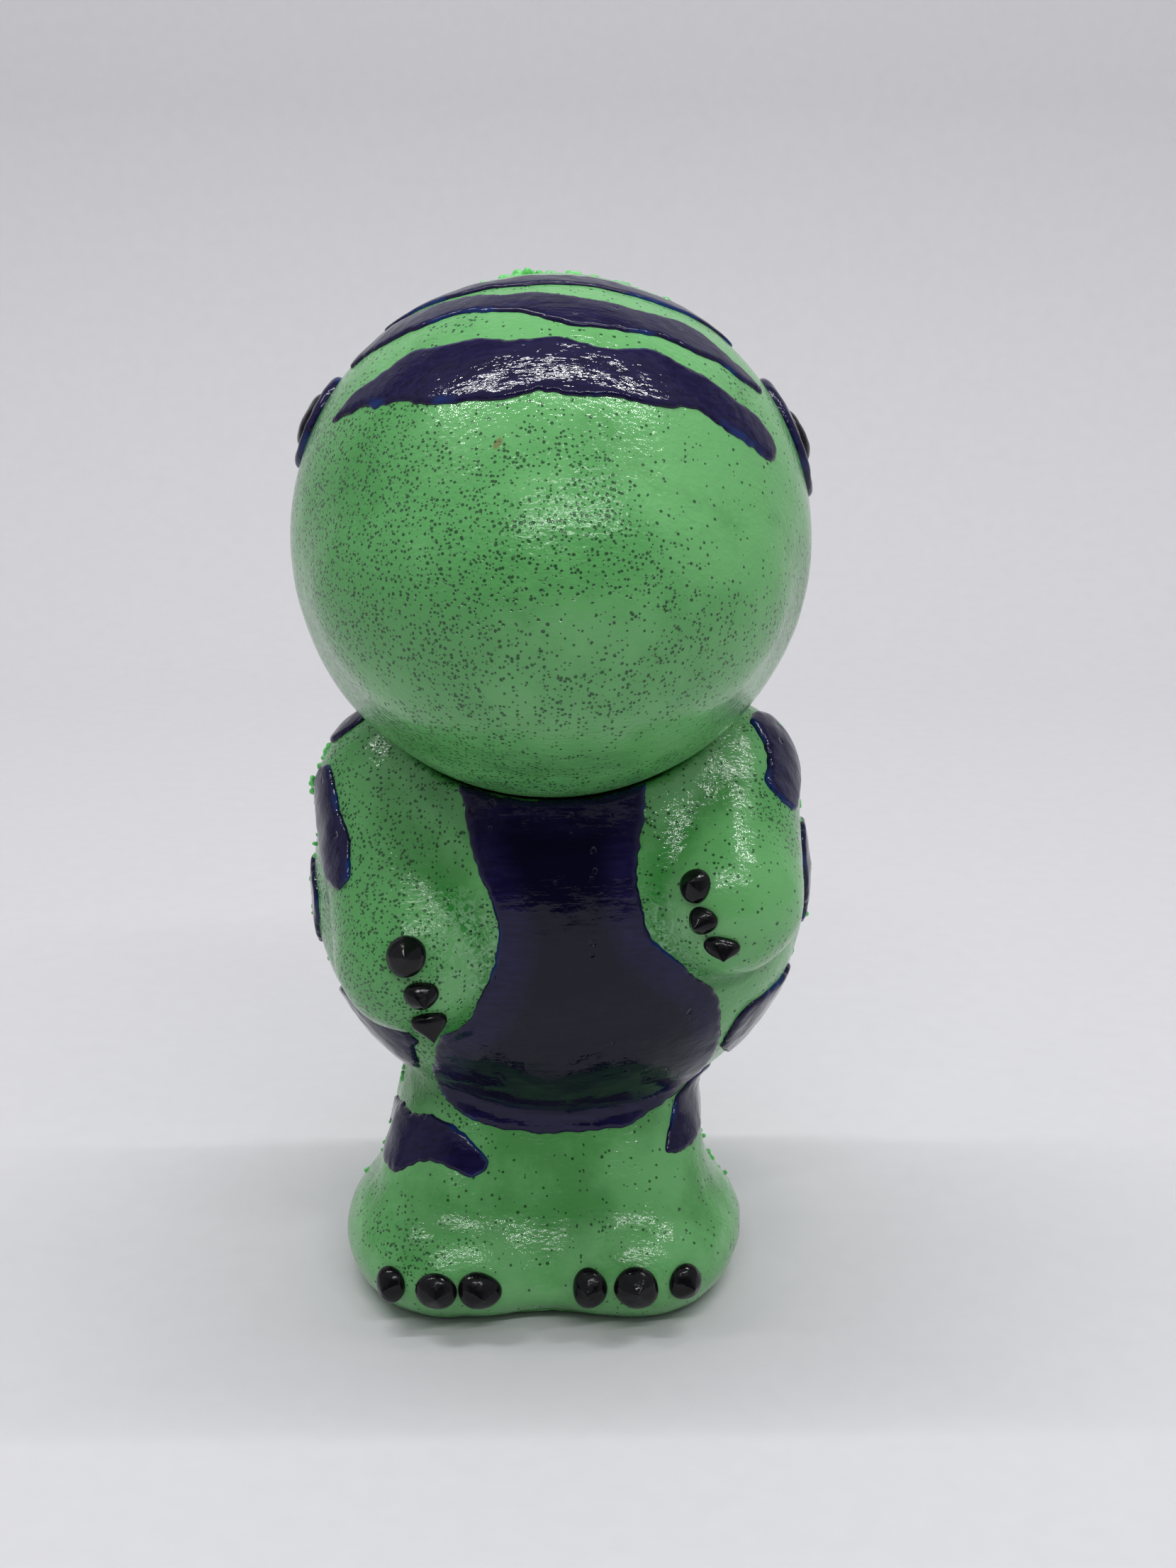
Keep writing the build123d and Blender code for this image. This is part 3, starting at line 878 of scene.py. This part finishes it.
# %% Pinholes
def make_pinholes():
    wires, given, out = new_group(
        "Pinholes",
        [
            ("Place", VECTOR, None), ("Spacing", FLOAT, 1.0),
            ("Hole size", FLOAT, 0.3), ("Share", FLOAT, 0.5),
        ],
        [("Mask", FLOAT), ("Height", FLOAT)],
    )
    scaled = wires.vector("DIVIDE", given["Place"], given["Spacing"])
    jitter = wires.noise(scaled, 2.2, 1.0)
    bent = wires.add("ShaderNodeVectorMath", {"operation": "MULTIPLY_ADD"})
    wires.set(bent.inputs[0], jitter.outputs["Color"])
    bent.inputs[1].default_value = (0.3, 0.3, 0.3)
    wires.set(bent.inputs[2], scaled)
    cells = wires.add("ShaderNodeTexVoronoi", {"feature": "F1"}, Vector=bent.outputs[0], Scale=1.0)
    split = wires.add("ShaderNodeSeparateColor", Color=cells.outputs["Color"])
    there = wires.math("LESS_THAN", split.outputs[0], given["Share"])
    uneven = wires.span(split.outputs[1], 0, 1, 0.45, 1.25, "LINEAR")
    size = wires.times(given["Hole size"], uneven)
    edge = wires.times(size, 1.35)
    depth = wires.span(cells.outputs["Distance"], wires.times(size, 0.8), edge, 1.0, 0.0)
    mask = wires.times(depth, there)
    wires.set(out["Mask"], mask)
    wires.set(out["Height"], wires.times(mask, -1.0))
    return wires.tree


pinholes = make_pinholes()


# %% Brush ripple
def make_ripple():
    """Long uneven ridges that a brush leaves, and the orange peel of gloss that dried thick."""
    wires, given, out = new_group(
        "Brushed gloss",
        [("Place", VECTOR, None), ("Stroke length", FLOAT, 4.0), ("Stroke width", FLOAT, 0.5)],
        [("Height", FLOAT), ("Tone", FLOAT)],
    )
    size = wires.add("ShaderNodeCombineXYZ")
    wires.set(size.inputs[0], given["Stroke length"])
    wires.set(size.inputs[1], given["Stroke width"])
    wires.set(size.inputs[2], given["Stroke width"])
    scaled = wires.vector("DIVIDE", given["Place"], size.outputs[0])
    strokes = wires.noise(scaled, 1.0, 3.0)
    peel = wires.noise(given["Place"], 0.9, 2.0)
    grain = wires.noise(given["Place"], 2.6, 1.0)
    both = wires.plus(strokes.outputs[0], wires.times(peel.outputs[0], 0.6))
    both = wires.plus(both, wires.times(grain.outputs[0], 0.5))
    wires.set(out["Height"], both)
    wires.set(out["Tone"], strokes.outputs[0])
    return wires.tree


ripple = make_ripple()

# %% [markdown]
# ## Finishes
# All finishes read the place on the object itself, in millimetres, so no unwrapping is needed
# and a pattern runs on unbroken from one half of the toy to the other.


# %% A new material
def new_material(name, **shader):
    material = bpy.data.materials.new(name)
    material.use_nodes = True
    tree = material.node_tree
    tree.nodes.clear()
    wires = Wiring(tree)
    surface = wires.add("ShaderNodeBsdfPrincipled")
    for socket, value in shader.items():
        surface.inputs[socket.replace("_", " ")].default_value = value
    wires.add("ShaderNodeOutputMaterial", None, Surface=surface.outputs[0])
    place = wires.add("ShaderNodeVectorMath", {"operation": "SCALE"})
    wires.set(place.inputs[0], wires.add("ShaderNodeTexCoord").outputs["Object"])
    place.inputs["Scale"].default_value = 1 / MM
    return material, wires, surface, place.outputs[0]


def group_node(wires, tree, **values):
    node = wires.add("ShaderNodeGroup", {"node_tree": tree})
    for name, value in values.items():
        wires.set(node.inputs[name.replace("_", " ")], value)
    return node.outputs


def coat(wires, surface, colour, roughness, height, strength=1.0, depth=1.0):
    """Gives a surface its colour, its roughness and a relief whose heights are in depth mm."""
    wires.set(surface.inputs["Base Color"], colour)
    wires.set(surface.inputs["Roughness"], roughness)
    bump = wires.add("ShaderNodeBump", None, Height=height, Strength=strength, Distance=depth * MM)
    wires.set(surface.inputs["Normal"], bump.outputs[0])


# %% Green skin
# The deep green is also painted shade in the creases, and the hole green is painted shade inside the
# pinholes
PALE_GREEN = (0.145, 0.43, 0.146, 1)
MIDDLE_GREEN = (0.082, 0.30, 0.081, 1)
DEEP_GREEN = (0.026, 0.225, 0.034, 1)
WORN_GREEN = (0.24, 0.50, 0.25, 1)
HOLE_SHADE_GREEN = (0.006, 0.055, 0.012, 1)
RUST = (0.20, 0.09, 0.04, 1)
WORN_SPOTS = ((-8.6, -16.5, 41.5), (12.0, -15.5, 42.0))  # the inner sides of the two hands
WORN_REACH = 7.5  # mm


def crinkles(wires, place):
    """A mask of pale crinkles on the inner sides of the hands, where the skin wrinkled."""
    near = 0.0
    for spot in WORN_SPOTS:
        gap = wires.vector("DISTANCE", place, spot)
        near = wires.math("MAXIMUM", near, wires.span(gap, WORN_REACH * 0.35, WORN_REACH, 1.0, 0.0))
    lines = wires.noise(place, 0.9, 4.0, Distortion=1.4)
    ridge = wires.math("ABSOLUTE", wires.math("SUBTRACT", lines.outputs[0], 0.5))
    return wires.times(wires.span(ridge, 0.0, 0.09, 0.75, 0.0), near)


def green_skin():
    """Glossy green, mottled, with dense pinholes that crowd together in patches, painted shade in the
    creases and painted shade inside the pinholes.
    """
    material, wires, surface, place = new_material(
        "green_skin", Specular_IOR_Level=0.5, Subsurface_Weight=0.06, Subsurface_Scale=0.001
    )
    surface.inputs["Subsurface Radius"].default_value = (1.2, 2.0, 1.0)
    axes = wires.add("ShaderNodeSeparateXYZ", None, Vector=place).outputs
    patches = wires.noise(place, 0.085, 3.0)
    # More pinholes on the toy's right, on the face and the arms, and few on the crown and feet
    leaning = wires.times(wires.span(axes[0], -14, 12), -0.16)
    low = wires.times(wires.span(axes[2], 16, 30, 1.0, 0.0), -0.2)
    high = wires.times(wires.span(axes[2], 90, 99), -0.10)
    crowd = wires.plus(wires.plus(patches.outputs[0], leaning), wires.plus(low, high))
    crowd = wires.span(crowd, 0.28, 0.52)
    arms = wires.times(wires.span(axes[2], 36, 42), wires.span(axes[2], 60, 64, 1.0, 0.0))
    fine = group_node(
        wires, pinholes, Place=place, Spacing=0.37, Hole_size=0.32,
        Share=wires.span(crowd, 0, 1, 0.10, 1.0, "LINEAR"),
    )  # fmt: skip
    coarse = group_node(
        wires, pinholes, Place=place, Spacing=0.85, Hole_size=0.15,
        Share=wires.plus(
            wires.span(crowd, 0, 1, 0.01, 0.3, "LINEAR"), wires.times(arms, 0.45)
        ),
    )  # fmt: skip
    large = group_node(
        wires, pinholes, Place=place, Spacing=2.6, Hole_size=0.075,
        Share=wires.plus(0.04, wires.times(arms, 0.6)),
    )  # fmt: skip
    holes = wires.math("MAXIMUM", fine["Mask"], wires.math("MAXIMUM", coarse["Mask"], large["Mask"]))
    tone = wires.noise(place, 0.11, 5.0, Roughness=0.62)
    # Painted shade: the green darkens toward the deep green in creases and valleys, a third as much low on
    # the legs
    crease_shade = wires.add("ShaderNodeAttribute", {"attribute_name": "painted_crease_shade"}).outputs["Fac"]
    crease_shade = wires.times(crease_shade, wires.span(axes[2], 18, 30, 0.3, 1.0))
    thick = wires.plus(tone.outputs[0], wires.times(crease_shade, 0.22))
    light = wires.mix(wires.span(thick, 0.34, 0.66), PALE_GREEN, MIDDLE_GREEN)
    light = wires.mix(wires.span(crease_shade, 0.1, 0.9), light, DEEP_GREEN)
    shaded = wires.mix(wires.times(crowd, 0.4), light, DEEP_GREEN)
    worn = crinkles(wires, place)
    shaded = wires.mix(worn, shaded, WORN_GREEN)
    fleck = group_node(wires, pinholes, Place=place, Spacing=4.6, Hole_size=0.07, Share=0.22)["Mask"]
    shaded = wires.mix(wires.times(fleck, 0.6), shaded, RUST)
    # Painted shade inside the pinholes
    colour = wires.mix(wires.times(holes, 0.88), shaded, HOLE_SHADE_GREEN)
    gloss = group_node(wires, ripple, Place=place, Stroke_length=0.9, Stroke_width=0.45)
    relief = wires.times(gloss["Height"], 0.07)
    relief = wires.plus(relief, wires.times(holes, -0.1))
    relief = wires.plus(relief, wires.times(worn, 0.04))
    coat(wires, surface, colour, wires.span(tone.outputs[0], 0.3, 0.7, 0.07, 0.14), relief)
    return material


def flash_green_painted_highlight():
    """The squeezed-out gloss of the parting line, which has no pinholes and is painted a brighter green
    than the skin as a painted highlight.
    """
    material, wires, surface, place = new_material("flash_green_painted_highlight", Coat_Weight=0.6, Coat_Roughness=0.06)
    tone = wires.noise(place, 0.8, 2.0).outputs[0]
    # Painted highlight: this green is brighter than the skin's
    colour = wires.mix(wires.span(tone, 0.35, 0.65), (0.14, 0.66, 0.15, 1), (0.09, 0.54, 0.11, 1))
    gloss = group_node(wires, ripple, Place=place, Stroke_length=1.2, Stroke_width=0.5)
    relief = wires.times(gloss["Height"], 0.05)
    coat(wires, surface, colour, wires.span(tone, 0.3, 0.7, 0.1, 0.22), relief)
    return material


# %% Navy paint
def navy_paint():
    """Thick navy gloss. Where the film thins out at its edge, a brighter blue shows in places."""
    material, wires, surface, place = new_material("navy_paint", Specular_IOR_Level=0.27)
    depth = wires.add("ShaderNodeAttribute", {"attribute_name": "depth_in_film"}).outputs["Fac"]
    strokes = group_node(wires, ripple, Place=place, Stroke_length=4.5, Stroke_width=0.55)
    edge = wires.plus(depth, wires.times(strokes["Tone"], 0.5))
    edge = wires.span(edge, 0.3, 0.75, 1.0, 0.0)
    places = wires.noise(place, 0.16, 2.0)
    thin = wires.times(edge, wires.span(places.outputs[0], 0.5, 0.62))
    tone = wires.span(strokes["Tone"], 0.3, 0.7)
    body = wires.mix(tone, (0.0062, 0.0048, 0.030, 1), (0.0115, 0.009, 0.050, 1))
    body = wires.mix(wires.span(depth, 1.5, 4.5), body, (0.0030, 0.0024, 0.0145, 1))
    colour = wires.mix(wires.times(thin, 0.7), body, (0.007, 0.036, 0.17, 1))
    pits = group_node(wires, pinholes, Place=place, Spacing=1.9, Hole_size=0.13, Share=0.3)
    relief = wires.times(strokes["Height"], 0.036)
    relief = wires.plus(relief, wires.times(pits["Mask"], -0.1))
    coat(wires, surface, colour, wires.span(strokes["Tone"], 0.3, 0.7, 0.03, 0.08), relief)
    return material


# %% Black gloss and the swivel's plastic
def black_gloss():
    """Drops of black gloss with a soft skin that wrinkled as it dried."""
    material, wires, surface, place = new_material("black_gloss", Specular_IOR_Level=0.25)
    wrinkle = wires.noise(place, 1.4, 3.0).outputs[0]
    colour = wires.mix(wrinkle, (0.0022, 0.0022, 0.003, 1), (0.007, 0.007, 0.008, 1))
    coat(wires, surface, colour, wires.span(wrinkle, 0.3, 0.7, 0.05, 0.16), wrinkle, 0.6, 0.1)
    return material


def moulded_plastic():
    """The off-white plastic of the neck spool, with the faint grain of its mould."""
    material, wires, surface, place = new_material("moulded_plastic")
    grain = wires.noise(place, 3.0, 2.0).outputs[0]
    colour = wires.mix(grain, (0.62, 0.61, 0.57, 1), (0.72, 0.71, 0.67, 1))
    coat(wires, surface, colour, wires.span(grain, 0.3, 0.7, 0.45, 0.6), grain, 0.4, 0.05)
    return material


# %% Give every piece its finish
def wear(piece, material):
    piece.data.materials.clear()
    piece.data.materials.append(material)


skin_finish, flash_finish = green_skin(), flash_green_painted_highlight()
paint_finish, claw_finish = navy_paint(), black_gloss()
for piece in skins:
    wear(piece, skin_finish)
for piece in (head_flash, torso_flash):
    wear(piece, flash_finish)
for piece in films:
    wear(piece, claw_finish if piece["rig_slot"] == "pupil" else paint_finish)
for piece in claws:
    wear(piece, claw_finish)
wear(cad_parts["neck_swivel"], moulded_plastic())
for source in (torso_skin[0], head_skin[0]):
    bpy.data.objects.remove(source)

# %% [markdown]
# ## Floor, light and camera
# The toy stands on a plain pale sheet that curves up behind it. Two long thin lamps, one
# straight overhead and one in front and high, leave narrow broken highlights on the wet-looking
# paint. The rest of the light is the glow of the room. It is dark low in front, so that navy and
# black stay dark, paler at the sides and behind, and brightest overhead.

# %% Sheet
SHEET_COLOUR = (0.66, 0.655, 0.675, 1)
SHEET_FRONT, SHEET_BACK, SHEET_HALF_WIDTH = -1.2, 0.22, 1.4  # metres
SHEET_BEND, SHEET_TOP = 0.12, 1.2  # metres


def sheet():
    """A floor that rolls up into a wall, in one swept strip."""
    profile = [(SHEET_FRONT, 0), (SHEET_BACK, 0)]
    for a in np.linspace(0.08, 1.5, 18):
        profile.append((SHEET_BACK + SHEET_BEND * math.sin(a), SHEET_BEND - SHEET_BEND * math.cos(a)))
    profile.append((SHEET_BACK + SHEET_BEND, SHEET_TOP))
    sides = (-SHEET_HALF_WIDTH, SHEET_HALF_WIDTH)
    points = [(x / MM, y / MM, z / MM) for x in sides for y, z in profile]
    count = len(profile)
    faces = [(i, i + count, i + count + 1, i + 1) for i in range(count - 1)]
    piece = new_piece("sheet", points, faces)
    material, wires, surface, place = new_material("pale_sheet", Roughness=0.75)
    fibre = wires.noise(place, 0.35, 3.0)
    darker = tuple(0.94 * c for c in SHEET_COLOUR[:3]) + (1,)
    wires.set(surface.inputs["Base Color"], wires.mix(fibre.outputs[0], SHEET_COLOUR, darker))
    wear(piece, material)


sheet()


# %% Lamps
TOY_MIDDLE = Vector((0, 0, 0.07))


def strip_lamp(name, place, size, power):
    """A rectangular lamp that faces the toy. Places and sizes are in metres, power in watts."""
    lamp = bpy.data.lights.new(name, "AREA")
    lamp.shape = "RECTANGLE"
    lamp.size, lamp.size_y = size
    lamp.energy = power
    thing = bpy.data.objects.new(name, lamp)
    thing.location = place
    thing.rotation_euler = (TOY_MIDDLE - Vector(place)).to_track_quat("-Z", "Y").to_euler()
    bpy.context.scene.collection.objects.link(thing)


strip_lamp("overhead_strip", (0.0, -0.02, 0.66), (0.95, 0.012), 3.2)
strip_lamp("front_strip", (0.08, -0.42, 0.55), (0.55, 0.010), 1.25)

# %% Glow of the room
DARK_ROOM, PALE_ROOM, CEILING = 0.04, 0.40, 0.48  # how brightly each part of the room shines
world = bpy.data.worlds.new("studio")
world.use_nodes = True
room = Wiring(world.node_tree)
# Each part fades in over a range of the direction's own X, Y or Z
way = room.add("ShaderNodeTexCoord").outputs["Generated"]
axes = room.add("ShaderNodeSeparateXYZ", None, Vector=way).outputs
aside = room.span(room.math("ABSOLUTE", axes[0]), 0.35, 0.85, DARK_ROOM, PALE_ROOM)
behind = room.span(axes[1], 0.0, 0.4, 0.0, PALE_ROOM)
walls = room.math("MAXIMUM", aside, behind)
shine = room.math("MAXIMUM", walls, room.span(axes[2], 0.50, 0.60, 0.0, CEILING))
background = world.node_tree.nodes["Background"]
background.inputs[0].default_value = (0.94, 0.95, 1.0, 1)
room.set(background.inputs[1], shine)
bpy.context.scene.world = world
bpy.context.scene.view_settings.view_transform = "Standard"

# %% Camera
VIEW_DISTANCE = 0.230
VIEW_ELEVATION = math.radians(18)
VIEW_AIM = Vector((0, 0, 0.052))
LENS, SENSOR = 51.98, 36.0
AIM_ASIDE = math.radians(0.94)  # the toy stands a little left of the middle of the picture
camera_data = bpy.data.cameras.new("camera")
camera_data.lens = LENS
camera_data.sensor_width = SENSOR
camera_data.clip_start = 0.01
camera = bpy.data.objects.new("camera", camera_data)
back = Vector((0, -math.cos(VIEW_ELEVATION), math.sin(VIEW_ELEVATION)))
camera.location = VIEW_AIM + back * VIEW_DISTANCE
camera.rotation_euler = (math.pi / 2 - VIEW_ELEVATION, 0, -AIM_ASIDE)
bpy.context.scene.collection.objects.link(camera)
bpy.context.scene.camera = camera
